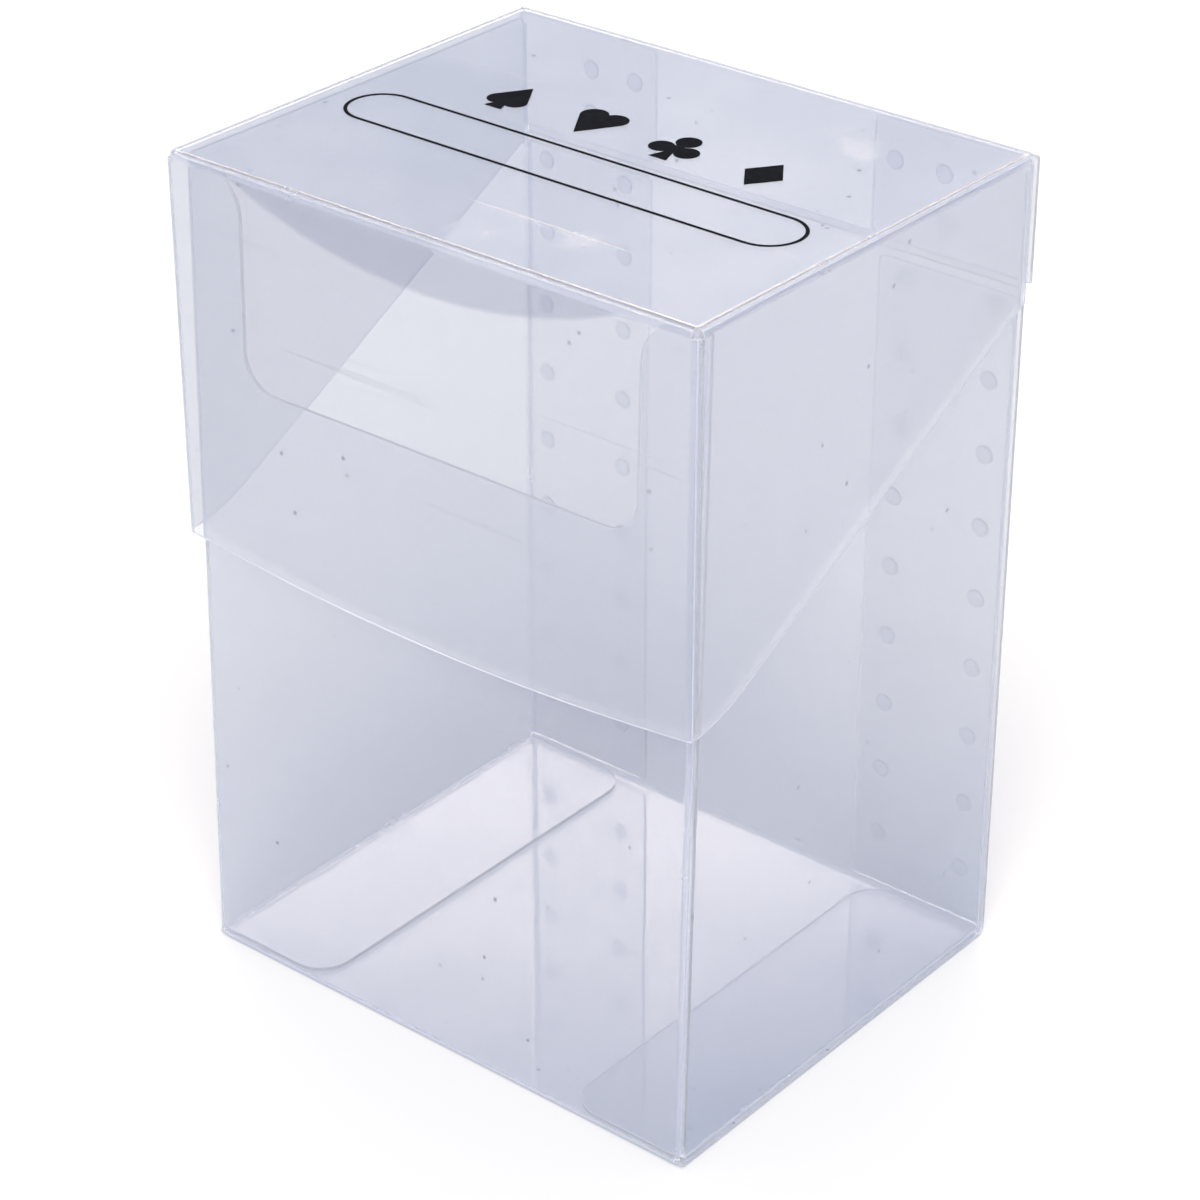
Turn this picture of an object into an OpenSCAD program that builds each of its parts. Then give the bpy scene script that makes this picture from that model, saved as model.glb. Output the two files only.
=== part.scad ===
// Flip-top deck box for trading cards, folded and spot-welded from one clear plastic sheet.
// Millimetres. The front faces -Y, up is +Z, and the origin is the middle of the underside.

/* [Box] */
// Width over the lid's side flaps
box_w = 69; // [66:0.5:90]
// Depth over the lid, from the front flap to the back panel
box_d = 56; // [40:0.5:80]
// Height to the lid's top face
box_h = 96; // [88:0.5:120]
// Thickness of the clear sheet
sheet = 0.5; // [0.4:0.05:0.6]
// How far the front panel's top edge stands in from its bottom edge
front_lean = 2.2; // [2.1:0.1:3]

/* [Thumb cut-out] */
// Width of the horn left at each side of the cut-out
horn_w = 7.6; // [6.5:0.1:12]
// Depth of the cut-out below the front panel's top edge
cutout_depth = 23.5; // [15:0.5:30]
// Radius of each horn's inner top corner
horn_r = 5; // [3:0.1:6]
// Radius of the cut-out's lower corners
cutout_r = 4; // [2:0.1:8]

/* [Lid] */
// Clearance between a side flap of the lid and the side panel inside it
side_gap = 0.3; // [0.25:0.05:0.5]
// Clearance between the side panels' top edges and the lid's top panel
top_gap = 0.7; // [0.5:0.1:1]
// Height of the back strip, from the hinge crease to the lid's top face
strip_h = 14.8; // [13:0.1:16]
// Height of the front flap at its middle
flap_h = 46; // [38:0.5:50]
// How much lower the front flap's edge hangs at its middle than at its ends
flap_bow = 2.3; // [1:0.1:4]
// Radius that blends a side flap's slanted edge into the front flap's edge
side_blend_r = 26; // [15:1:30]
// Width of a welded tab, from the outside of the lid
tab_w = 19.8; // [15:0.1:24]

/* [Flaps and welds] */
// Width of a weld flap, from the outside of the side panel
weld_flap_w = 18.4; // [14:0.1:20]
// Width of a bottom flap, from the outside of the side panel
bottom_flap_w = 16; // [12:0.5:25]
// Radius of a bottom flap's free corners
bottom_flap_r = 4; // [2:0.5:6]
// Diameter of a spot weld
weld_d = 2.2; // [1.6:0.1:2.6]
// Height of a spot weld's button above the flap
weld_proud = 0.15; // [0.1:0.05:0.2]
// Height of the lowest row of spot welds
weld_low = 8.2; // [6:0.1:10]
// Spacing between rows of spot welds
weld_pitch = 8.77; // [8:0.01:9]
// Number of rows of spot welds
weld_rows = 9; // [7:9]

/* [Print] */
// Width of the label outline across the lid
label_w = 58.5; // [50:0.5:60]
// Depth of the label outline
label_d = 8; // [6:0.5:10]
// Width of the label outline's line
label_line = 0.4; // [0.3:0.05:0.6]
// Distance from the lid's front edge to the label's middle
label_y = 22.6; // [20:0.1:24]
// Distance from the lid's front edge to the middle of the row of suits
suits_y = 33.4; // [32:0.1:36]
// Height of one suit
suit_h = 6.6; // [5:0.1:7]
// Spacing between suits
suit_pitch = 11; // [9:0.5:12]

/* [Hidden] */

$fn = 64;
front_y = -box_d / 2;
back_y = box_d / 2;
hinge_z = box_h - strip_h;
// Half the height of the thinned web at the crease, and the web's thickness
web_half = 0.4;
web_t = 0.2;
// The body's walls stand inside the lid's side flaps
body_w = box_w - 2 * (sheet + side_gap);
body_h = box_h - sheet - top_gap;
// Room kept between the side panels and the lid's tabs, and between other free edges
free_gap = 0.4;
// Depth of the side panels' step below the lid's tabs
tab_step = 2 * sheet + free_gap;
ink_t = 0.04;
// Height of the front flap's lower edge at its ends, and the radius of its bow
flap_end_z = box_h - flap_h + flap_bow;
bow_r = (box_w * box_w / 4 + flap_bow * flap_bow) / (2 * flap_bow);
// Chamfer at the side flaps' rear lower corners, and the slanted edge's end there
notch = 1.1;
slant_end = [back_y - notch, hinge_z - web_half - notch];
// Slope at which the blend leaves the front flap, the blend's centre and the slanted edge's slope
blend_start = 8;
blend_steps = 8;
arc_steps = 24;
blend_centre = [front_y + sheet, flap_end_z] - side_blend_r * [sin(blend_start), -cos(blend_start)];
to_end = slant_end - blend_centre;
slant = atan2(to_end[1], to_end[0]) + asin(side_blend_r / norm(to_end));

clear_colour = [0.80, 0.83, 0.93, 0.45];
lid_colour = [0.74, 0.78, 0.90, 0.45];
weld_colour = [0.93, 0.94, 0.98, 0.8];
ink_colour = [0.05, 0.05, 0.06];

// Stands an outline drawn in X and Z upright and gives it a thickness towards -Y
module upright_xz(y, depth) {
  translate([0, y, 0]) rotate([90, 0, 0]) linear_extrude(depth) children();
}

// Stands an outline drawn in Y and Z upright and gives it a thickness towards +X
module upright_yz(x, depth) {
  translate([x, 0, 0]) rotate([90, 0, 90]) linear_extrude(depth) children();
}

// A quarter-round fillet that fills the corner at the origin, towards +x and +y
module corner_fillet(r) {
  difference() {
    square(r);
    translate([r, r]) circle(r);
  }
}

// The upper part of the front panel that the thumb cut-out removes, with its rounded corners
module cutout_outline() {
  half = body_w / 2 - horn_w;
  low = body_h - cutout_depth;
  over = 1;
  difference() {
    translate([-half, low]) square([2 * half, cutout_depth + over]);
    translate([-half, low]) corner_fillet(cutout_r);
    translate([half, low]) rotate(90) corner_fillet(cutout_r);
  }
  // The horns' inner top corners are rounded off
  translate([-half, body_h]) rotate(180) corner_fillet(horn_r);
  translate([half, body_h]) rotate(-90) corner_fillet(horn_r);
}

module front_panel() {
  color(clear_colour) intersection() {
    upright_xz(back_y, box_d) difference() {
      translate([-body_w / 2, sheet]) square([body_w, body_h - sheet]);
      cutout_outline();
    }
    upright_yz(-body_w / 2, body_w) polygon([
      [front_y, sheet],
      [front_y + sheet, sheet],
      [front_y + front_lean + sheet, body_h],
      [front_y + front_lean, body_h]
    ]);
  }
}

module back_panel() {
  color(clear_colour) translate([-body_w / 2, back_y - sheet, sheet]) {
    cube([body_w, sheet, hinge_z - web_half - sheet]);
  }
}

// Side wall: its front edge follows the leaning front, and it steps in behind the lid's tabs
module side_outline() {
  polygon([
    [front_y + sheet, sheet],
    [back_y - sheet, sheet],
    [back_y - sheet, hinge_z - 2 * web_half - free_gap],
    [back_y - tab_step, hinge_z - 2 * web_half],
    [back_y - tab_step, body_h],
    [front_y + front_lean + sheet, body_h]
  ]);
}

module left_side_panel() {
  color(clear_colour) upright_yz(-body_w / 2, sheet) side_outline();
}

module right_side_panel() {
  color(clear_colour) upright_yz(body_w / 2 - sheet, sheet) side_outline();
}

module bottom_panel() {
  color(clear_colour) translate([-body_w / 2, front_y, 0]) cube([body_w, box_d, sheet]);
}

// Dust flap on the floor, folded in from the left side panel
module bottom_flap() {
  low_y = front_y + sheet + free_gap;
  high_y = back_y - 2 * sheet;
  wide = bottom_flap_w - sheet;
  translate([-body_w / 2 + sheet, 0, sheet]) linear_extrude(sheet) difference() {
    translate([0, low_y]) square([wide, high_y - low_y]);
    translate([wide, low_y]) mirror([1, 0]) corner_fillet(bottom_flap_r);
    translate([wide, high_y]) mirror([1, 0]) mirror([0, 1]) corner_fillet(bottom_flap_r);
  }
}

module left_bottom_flap() {
  color(clear_colour) bottom_flap();
}

module right_bottom_flap() {
  color(clear_colour) mirror([1, 0, 0]) bottom_flap();
}

// Vertical flap of the left side panel, inside the back panel
module weld_flap() {
  low = 2 * sheet + free_gap;
  top = hinge_z - 2 * web_half - free_gap;
  translate([-body_w / 2 + sheet, back_y - 2 * sheet, low]) {
    cube([weld_flap_w - sheet, sheet, top - low]);
  }
}

module left_weld_flap() {
  color(clear_colour) weld_flap();
}

module right_weld_flap() {
  color(clear_colour) mirror([1, 0, 0]) weld_flap();
}

// One spot weld's button, standing towards -Y from the face at y
module weld_button(x, y, z) {
  translate([x, y, z]) rotate([90, 0, 0]) cylinder(d = weld_d, h = weld_proud, $fn = 32);
}

module spot_welds() {
  columns = [3.4, 14.8];
  for (column = columns, row = [0 : weld_rows - 1]) {
    weld_button(-body_w / 2 + column, back_y - 2 * sheet, weld_low + row * weld_pitch);
  }
}

module left_spot_welds() {
  color(weld_colour) spot_welds();
}

module right_spot_welds() {
  color(weld_colour) mirror([1, 0, 0]) spot_welds();
}

// Thinned strip at the outer face, between the back panel and the lid's back strip
module rear_hinge_web() {
  color(weld_colour) translate([-body_w / 2, back_y - web_t, hinge_z - web_half]) {
    cube([body_w, web_t, 2 * web_half]);
  }
}

module lid_top_panel() {
  color(lid_colour) translate([-box_w / 2, front_y, box_h - sheet]) {
    cube([box_w, box_d, sheet]);
  }
}

module lid_front_flap() {
  color(lid_colour) upright_xz(front_y + sheet, sheet) intersection() {
    translate([-box_w / 2, box_h - flap_h]) square([box_w, flap_h - sheet]);
    translate([0, box_h - flap_h + bow_r]) circle(bow_r, $fn = 720);
  }
}

// Points along the blend from the front flap's edge to the slant, which is tangent to it
function blend_points() = [
  for (i = [0 : blend_steps])
    let (a = blend_start + (slant - blend_start) * i / blend_steps)
    blend_centre + side_blend_r * [sin(a), -cos(a)]
];

module lid_side_outline() {
  top = box_h - sheet - free_gap / 2;
  polygon(concat(
    blend_points(),
    [
      slant_end,
      [back_y - sheet, hinge_z - web_half],
      [back_y - sheet, top],
      [front_y + sheet, top]
    ]
  ));
}

module lid_left_side() {
  color(lid_colour) upright_yz(-box_w / 2, sheet) lid_side_outline();
}

module lid_right_side() {
  color(lid_colour) upright_yz(box_w / 2 - sheet, sheet) lid_side_outline();
}

module lid_back_strip() {
  color(lid_colour) translate([-box_w / 2, back_y - sheet, hinge_z + web_half]) {
    cube([box_w, sheet, strip_h - web_half - sheet]);
  }
}

// Tab of the left side flap, welded inside the back strip
module lid_tab() {
  low = hinge_z + web_half + free_gap;
  top = box_h - sheet - free_gap;
  translate([-box_w / 2 + sheet, back_y - 2 * sheet, low]) cube([tab_w - sheet, sheet, top - low]);
}

module lid_left_tab() {
  color(lid_colour) lid_tab();
}

module lid_right_tab() {
  color(lid_colour) mirror([1, 0, 0]) lid_tab();
}

// Three buttons on the tab: two in a row, and one below the outer of them
module tab_welds() {
  columns = [10.8, 17];
  drop = 5.2;
  for (column = columns) {
    weld_button(-box_w / 2 + column, back_y - 2 * sheet, box_h - drop);
  }
  weld_button(-box_w / 2 + columns[0], back_y - 2 * sheet, box_h - 2 * drop);
}

module lid_left_tab_welds() {
  color(weld_colour) tab_welds();
}

module lid_right_tab_welds() {
  color(weld_colour) mirror([1, 0, 0]) tab_welds();
}

// A bar with fully round ends, centred on the origin
module round_bar(w, d) {
  square([w - d, d], center = true);
  for (side = [-1, 1]) {
    translate([side * (w - d) / 2, 0]) circle(d = d);
  }
}

module label_outline() {
  color(ink_colour) translate([0, front_y + label_y, box_h]) linear_extrude(ink_t) difference() {
    round_bar(label_w, label_d);
    round_bar(label_w - 2 * label_line, label_d - 2 * label_line);
  }
}

// Suits are drawn one unit high about the origin and scaled to size

module diamond() {
  polygon([[0, 0.5], [0.36, 0], [0, -0.5], [-0.36, 0]]);
}

// Points on an arc about c, from angle a0 to a1
function arc(c, r, a0, a1) = [
  for (i = [0 : arc_steps])
    let (a = a0 + (a1 - a0) * i / arc_steps)
    c + r * [cos(a), sin(a)]
];

// Two round lobes, each tangent to a straight side that runs down to the tip
module heart() {
  lobe = 0.235;
  centre = [0.205, 0.5 - lobe];
  tip = [0, -0.5];
  down = tip - centre;
  // Angles on the right lobe where its straight side leaves it and where it meets the left lobe
  side_a = atan2(down[1], down[0]) + acos(lobe / norm(down));
  cleft_a = acos(-centre[0] / lobe);
  right = arc(centre, lobe, side_a, cleft_a);
  polygon(concat([tip], right, [for (i = [arc_steps - 1 : -1 : 0]) [-right[i][0], right[i][1]]]));
}

module stem() {
  polygon([[0, 0], [0.17, -0.5], [-0.17, -0.5]]);
}

module spade() {
  translate([0, 0.08]) rotate(180) scale(0.84) heart();
  stem();
}

module club() {
  leaf = 0.21;
  translate([0, 0.5 - leaf]) circle(leaf);
  for (side = [-1, 1]) {
    translate([side * 0.245, -0.08]) circle(leaf);
  }
  circle(0.12);
  stem();
}

module printed_suits() {
  color(ink_colour) translate([0, front_y + suits_y, box_h]) linear_extrude(ink_t) {
    translate([-1.5 * suit_pitch, 0]) scale(suit_h) spade();
    translate([-0.5 * suit_pitch, 0]) scale(suit_h) heart();
    translate([0.5 * suit_pitch, 0]) scale(suit_h) club();
    translate([1.5 * suit_pitch, 0]) scale(suit_h) diamond();
  }
}

front_panel();
back_panel();
left_side_panel();
right_side_panel();
bottom_panel();
left_bottom_flap();
right_bottom_flap();
left_weld_flap();
right_weld_flap();
left_spot_welds();
right_spot_welds();
rear_hinge_web();
lid_top_panel();
lid_front_flap();
lid_left_side();
lid_right_side();
lid_back_strip();
lid_left_tab();
lid_right_tab();
lid_left_tab_welds();
lid_right_tab_welds();
label_outline();
printed_suits();
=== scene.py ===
import math

import bmesh
import bpy
from mathutils import Matrix, Vector


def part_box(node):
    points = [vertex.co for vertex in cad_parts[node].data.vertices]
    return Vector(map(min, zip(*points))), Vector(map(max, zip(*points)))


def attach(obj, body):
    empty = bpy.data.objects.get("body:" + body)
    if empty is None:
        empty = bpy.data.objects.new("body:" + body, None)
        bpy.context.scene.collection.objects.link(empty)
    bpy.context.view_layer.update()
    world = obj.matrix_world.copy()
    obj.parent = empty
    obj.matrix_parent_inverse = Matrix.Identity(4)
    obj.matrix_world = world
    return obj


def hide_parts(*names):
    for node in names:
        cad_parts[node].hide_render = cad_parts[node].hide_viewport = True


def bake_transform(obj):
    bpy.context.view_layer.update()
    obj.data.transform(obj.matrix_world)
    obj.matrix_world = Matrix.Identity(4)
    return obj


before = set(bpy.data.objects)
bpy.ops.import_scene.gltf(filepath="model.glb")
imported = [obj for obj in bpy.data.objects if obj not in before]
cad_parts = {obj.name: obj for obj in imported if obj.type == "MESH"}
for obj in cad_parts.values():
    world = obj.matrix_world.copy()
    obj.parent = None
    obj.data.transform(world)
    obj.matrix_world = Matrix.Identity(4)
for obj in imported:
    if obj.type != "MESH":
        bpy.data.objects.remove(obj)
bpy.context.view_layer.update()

bl_info = {
    "name": "Clear deck box",
    "version": (1, 0, 0),
    "blender": (4, 5, 0),
    "location": "3D View > Sidebar > Deck Box",
    "description": "A flip-top deck box folded and spot-welded from clear plastic sheet",
    "category": "Object",
}

# Panels are drawn flat, with the outside face up, then folded, thickened and stood in place
UP = Vector((0.0, 0.0, 1.0))
ON_LINE = 1e-6
SKIN, CUT_EDGE, CREASE = 0, 1, 2
# Slot of a weld's sloping rim, which carries a painted shade
WELD_SHADED_SLOPE = 1
BODY, LID = "box", "lid"
# Each side's name and its sign along X
SIDES = (("left", -1), ("right", 1))
# Facets of die-cut corners, rounded edges, the lid's front edge and the blends at its ends
CORNER_STEPS, EDGE_STEPS, FLAP_STEPS, BLEND_STEPS = 8, 2, 36, 12
SHARP_ANGLE = math.radians(20)
PLASTIC_IOR = 1.49
# Tint of the light that a lamp sends through one face of the sheet
LAMP_TINT = (0.76, 0.78, 0.835)

# Finishes of the clear plastic. Clarity is the share of light that haze doesn't scatter; gloss is
# the roughness of clean plastic; scuffs, scratches and specks are the strengths of those marks;
# ripple is the depth of the surface's waviness in metres. A welded-down flap, a crease and a cut
# edge show less gloss of their own than open sheet, so their IOR is lower.
FINISH_VALUES = ("clarity", "gloss", "scuffs", "scratches", "specks", "ripple", "ior")
FINISHES = {
    "sheet": (0.84, 0.02, 0.12, 0.6, 0.8, 0.00005, PLASTIC_IOR),
    "welded_down": (0.95, 0.02, 0.1, 0.3, 0.3, 0.00003, 1.22),
    "cut_edge": (0.62, 0.08, 0.2, 0.0, 0.0, 0.00002, 1.2),
    "box_crease": (0.76, 0.2, 0.25, 0.1, 0.0, 0.00004, 1.36),
    "lid_crease": (0.82, 0.2, 0.25, 0.1, 0.0, 0.00004, 1.36),
    "weld": (0.84, 0.06, 0.2, 0.0, 0.0, 0.00002, PLASTIC_IOR),
    "hinge": (0.8, 0.15, 0.3, 0.0, 0.0, 0.00002, PLASTIC_IOR),
}
# Colour of grime, the share of it in a scratch, and how a scratch roughens and sinks the surface
GRIME = (0.2, 0.21, 0.26)
SCRATCH_GRIME = 0.25
SCRATCH_ROUGHNESS = 0.3
SCRATCH_DEPTH = 0.02
INK_ROUGHNESS = 0.75
INK_SCUFFS = 0.25
# How much paler the ink is where it is thin
INK_THIN = 3.2
# Radius of a speck, as a share of the 5 mm cell that it lies in
SPECK_SIZE = 0.055

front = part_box("front_panel")
lid_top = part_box("lid_top_panel")
lid_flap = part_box("lid_front_flap")
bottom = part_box("bottom_panel")
sheet_gauge = bottom[1].z - bottom[0].z
front_lean = front[1].y - front[0].y - sheet_gauge
front_drop = front[1].z - bottom[0].z
front_tilt = math.atan2(front_lean, front_drop)


def length(name, description, default, precision=4):
    """A length in metres that a user may change."""
    return bpy.props.FloatProperty(
        name=name, description=description, default=default, unit="LENGTH", precision=precision
    )


def portion(name, description, default, low, high):
    """A share of a piece's own size, kept between low and high."""
    return bpy.props.FloatProperty(
        name=name, description=description, default=default, subtype="FACTOR", min=low, max=high
    )


def colour(name, description, default):
    """A colour or a tint that a user may change."""
    return bpy.props.FloatVectorProperty(
        name=name, description=description, default=default, subtype="COLOR", min=0.0, max=1.0
    )


class SheetSizes(bpy.types.PropertyGroup):
    """Sizes of the plastic sheet and its folds."""

    skin_gap: length(
        "Skin gap", "Air left between two sheets that lie against each other", 0.00003, precision=5
    )
    crease_radius: length("Crease radius", "Radius of a fold, on the outside", 0.0009, precision=5)
    crease_steps: bpy.props.IntProperty(
        name="Crease steps", description="Facets in each panel's half of a fold", default=4, min=2
    )
    crease_split: bpy.props.FloatProperty(
        name="Crease split",
        description="Angle left open in the middle of a fold, where two panels meet",
        default=math.radians(1.2),
        subtype="ANGLE",
    )
    edge_round: length("Edge rounding", "Rounding of a cut edge", 0.00005, precision=5)
    grid: length("Grid", "Spacing of the cross cuts that let a panel bend", 0.0045)
    wall_bow: length(
        "Wall bow",
        "How far the box's front and side walls sink in at their middles",
        0.00022,
        precision=5,
    )
    lid_bow: length(
        "Lid bow", "How far the lid's front flap sinks in at its middle", 0.0003, precision=5
    )
    lid_side_bow: length(
        "Lid side bow",
        "How far the lid's side flaps sink in at their middles",
        0.00008,
        precision=5,
    )


class OutlineSizes(bpy.types.PropertyGroup):
    """Sizes of the cut outlines and of the painted shades."""

    horn_width: length("Horn width", "Width of the horn at each side of the thumb cut-out", 0.0076)
    cutout_depth: length(
        "Cut-out depth", "Depth of the thumb cut-out below the front panel's top edge", 0.0235
    )
    cutout_radius: length("Cut-out radius", "Radius of the cut-out's lower corners", 0.004)
    horn_radius: length("Horn radius", "Radius of each horn's inner top corner", 0.005)
    flap_bow: length(
        "Flap curve",
        "How much lower the lid's front edge hangs at its middle than at its ends",
        0.0023,
    )
    side_blend: length(
        "Side flap blend",
        "Radius between a side flap's slanted edge and the front flap's edge",
        0.026,
    )
    side_chamfer: length("Side flap chamfer", "Chamfer at a side flap's rear lower corner", 0.0011)
    dust_flap_radius: length("Dust flap radius", "Radius of a bottom flap's free corners", 0.004)
    tab_clearance: length("Tab clearance", "Room between the side walls and the lid's tabs", 0.0004)
    # Painted shade darkens the back and side walls towards their foot, fading out at this height
    foot_height: length(
        "Wall foot shade height",
        "Height at which the darker foot of the back and side walls has faded out",
        0.042,
    )
    # The lens is a painted shade: a darker arc on the lid's front flap above the thumb cut-out
    lens_depth: length(
        "Painted shade lens depth",
        "How far the flexed lens on the lid's front flap reaches below the lid's top",
        0.0061,
    )
    lens_overlap: length(
        "Painted shade lens overlap",
        "How far the flexed lens reaches past each side of the thumb cut-out",
        0.001,
    )
    lens_softness: length(
        "Painted shade lens softness", "Half the width of the painted shade lens's blurred edge", 0.0004
    )
    small_radius: length("Small corner radius", "Radius of the other die-cut corners", 0.0008)


class WeldSizes(bpy.types.PropertyGroup):
    """Sizes of the spot welds."""

    diameter: length("Diameter", "Diameter of a spot weld", 0.0022)
    rows: bpy.props.IntProperty(
        name="Rows", description="Rows of spot welds on each weld flap", default=9, min=2
    )
    rim: portion("Rim", "Share of a weld's radius that its raised rim takes", 0.36, 0.1, 0.6)
    # The skirt is darkened by a painted shade
    skirt: portion(
        "Skirt", "Share of a weld's radius where its darker sloping skirt starts", 0.76, 0.5, 0.95
    )
    dimple: portion("Dimple", "Share of a weld's height that its middle sinks", 0.75, 0.0, 0.9)
    segments: bpy.props.IntProperty(
        name="Segments", description="Facets round each weld", default=24, min=8
    )


class SheetColours(bpy.types.PropertyGroup):
    """Colours of the plastic, its painted shades, the print and the studio."""

    box_tint: colour("Box tint", "Tint of the box's clear sheet", (0.84, 0.853, 0.889))
    lid_tint: colour("Lid tint", "Tint of the lid's clear sheet", (0.862, 0.874, 0.904))
    edge_tint: colour(
        "Cut edge tint", "Tint of cut edges and of the welds' middles", (0.93, 0.94, 0.965)
    )
    crease_tint: colour("Crease tint", "Tint of the plastic along its folds", (0.8, 0.82, 0.885))
    # Painted shade at the foot of the back and side walls
    foot_tint: colour(
        "Wall foot shade tint",
        "Tint of the plastic at the foot of the back and side walls",
        (0.742, 0.773, 0.843),
    )
    # Tint of the lid's top patches: real rubbing, and a painted shade that darkens the top
    rubbed_tint: colour(
        "Rubbed tint", "Tint of the rubbed patches on the lid's top", (0.788, 0.804, 0.847)
    )
    # Painted shade in the lens on the lid's front flap
    lens_tint: colour(
        "Lens shade tint", "Tint of the flexed lens on the lid's front flap", (0.645, 0.668, 0.74)
    )
    # Painted shade on a spot weld's sloping rim
    weld_slope: colour("Weld slope shade tint", "Tint of a spot weld's sloping rim", (0.55, 0.57, 0.64))
    ink: colour("Ink", "Colour of the printed label and suits", (0.004, 0.0045, 0.006))
    floor: colour("Floor", "Colour of the studio floor", (0.94, 0.94, 0.945))


def settings():
    return bpy.context.scene.deck_box


# Shader helpers


def add_node(tree, kind, values=None, **fields):
    """A node with its fields and its unlinked sockets set."""
    node = tree.nodes.new(kind)
    for field, value in fields.items():
        setattr(node, field, value)
    for socket, value in (values or {}).items():
        node.inputs[socket].default_value = value
    return node


def maths(tree, operation, a, b=None, clamp=False):
    """A Math node over sockets or numbers."""
    node = add_node(tree, "ShaderNodeMath", operation=operation, use_clamp=clamp)
    for i, value in enumerate((a, b)):
        if isinstance(value, bpy.types.NodeSocket):
            tree.links.new(value, node.inputs[i])
        elif value is not None:
            node.inputs[i].default_value = value
    return node.outputs[0]


def band(tree, value, low, high):
    """0 below low, 1 above high, and a smooth rise between."""
    node = add_node(
        tree,
        "ShaderNodeMapRange",
        {"From Min": low, "From Max": high},
        interpolation_type="SMOOTHSTEP",
    )
    tree.links.new(value, node.inputs["Value"])
    return node.outputs["Result"]


def mixed(tree, factor, a, b):
    """Blends two colours, each of them a tint or a socket, by the factor."""
    node = add_node(tree, "ShaderNodeMix", data_type="RGBA")
    tree.links.new(factor, node.inputs["Factor"])
    for label, tint in (("A", a), ("B", b)):
        if isinstance(tint, bpy.types.NodeSocket):
            tree.links.new(tint, node.inputs[label])
        else:
            node.inputs[label].default_value = (*tint, 1.0)
    return node.outputs["Result"]


def either(tree, factor, first, second):
    """The first shader where the factor is 0, and the second where it is 1."""
    node = tree.nodes.new("ShaderNodeMixShader")
    for i, socket in enumerate((factor, first, second)):
        tree.links.new(socket, node.inputs[i])
    return node.outputs["Shader"]


def new_group(name, inputs, outputs):
    """A shader node group with named inputs and outputs; numbers give an input's default."""
    group = bpy.data.node_groups.new(name, "ShaderNodeTree")
    for label, kind, default in inputs:
        socket = group.interface.new_socket(name=label, in_out="INPUT", socket_type=kind)
        if default is not None:
            socket.default_value = default
    for label, kind in outputs:
        group.interface.new_socket(name=label, in_out="OUTPUT", socket_type=kind)
    entry = group.nodes.new("NodeGroupInput")
    leave = group.nodes.new("NodeGroupOutput")
    return group, entry, leave


def plastic_wear_group():
    """Marks of handling on glossy sheet: scuffs, hairline scratches, dust specks and ripple."""
    if "plastic_wear" in bpy.data.node_groups:
        return bpy.data.node_groups["plastic_wear"]
    value = "NodeSocketFloat"
    group, entry, leave = new_group(
        "plastic_wear",
        [
            ("Place", "NodeSocketVector", None),
            ("Gloss", value, 0.03),
            ("Scuffs", value, 0.1),
            ("Scratches", value, 0.5),
            ("Specks", value, 0.5),
        ],
        [("Marks", value), ("Roughness", value), ("Height", value)],
    )
    link = group.links.new
    place = entry.outputs["Place"]

    # Slow waves of the sheet, about 25 mm long
    ripple = add_node(group, "ShaderNodeTexNoise", {"Scale": 42.0, "Detail": 1.0})
    # Rubbed patches, about 13 mm across
    patches = add_node(
        group, "ShaderNodeTexNoise", {"Scale": 75.0, "Detail": 6.0, "Roughness": 0.68}
    )
    # One speck in each 5 mm cell at most, kept only where the sieve lets it through
    grit = add_node(group, "ShaderNodeTexVoronoi", {"Scale": 210.0})
    sieve = add_node(group, "ShaderNodeTexNoise", {"Scale": 30.0, "Detail": 2.0})
    # Noise drawn out along one slanting direction, for hairline scratches
    turned = add_node(
        group,
        "ShaderNodeMapping",
        {"Rotation": (0.5, 0.35, 0.7), "Scale": (14.0, 900.0, 900.0)},
    )
    hairs = add_node(group, "ShaderNodeTexNoise", {"Scale": 1.0, "Detail": 1.0})
    for texture in (ripple, patches, grit, sieve, turned):
        link(place, texture.inputs["Vector"])
    link(turned.outputs["Vector"], hairs.inputs["Vector"])

    scuff = band(group, patches.outputs[0], 0.55, 0.74)
    scuff = maths(group, "MULTIPLY", scuff, entry.outputs["Scuffs"])
    scratch = band(group, hairs.outputs[0], 0.735, 0.78)
    scratch = maths(group, "MULTIPLY", scratch, entry.outputs["Scratches"])
    speck = maths(group, "LESS_THAN", grit.outputs["Distance"], SPECK_SIZE)
    speck = maths(group, "MULTIPLY", speck, band(group, sieve.outputs[0], 0.47, 0.53))
    speck = maths(group, "MULTIPLY", speck, entry.outputs["Specks"])

    grimy = maths(group, "MULTIPLY", scratch, SCRATCH_GRIME)
    marks = maths(group, "MAXIMUM", speck, grimy)
    link(marks, leave.inputs["Marks"])
    rough = maths(group, "ADD", entry.outputs["Gloss"], scuff)
    torn = maths(group, "MULTIPLY", scratch, SCRATCH_ROUGHNESS)
    rough = maths(group, "ADD", rough, torn, clamp=True)
    link(rough, leave.inputs["Roughness"])
    groove = maths(group, "MULTIPLY", scratch, SCRATCH_DEPTH)
    height = maths(group, "SUBTRACT", ripple.outputs[0], groove)
    link(height, leave.inputs["Height"])
    return group


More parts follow.
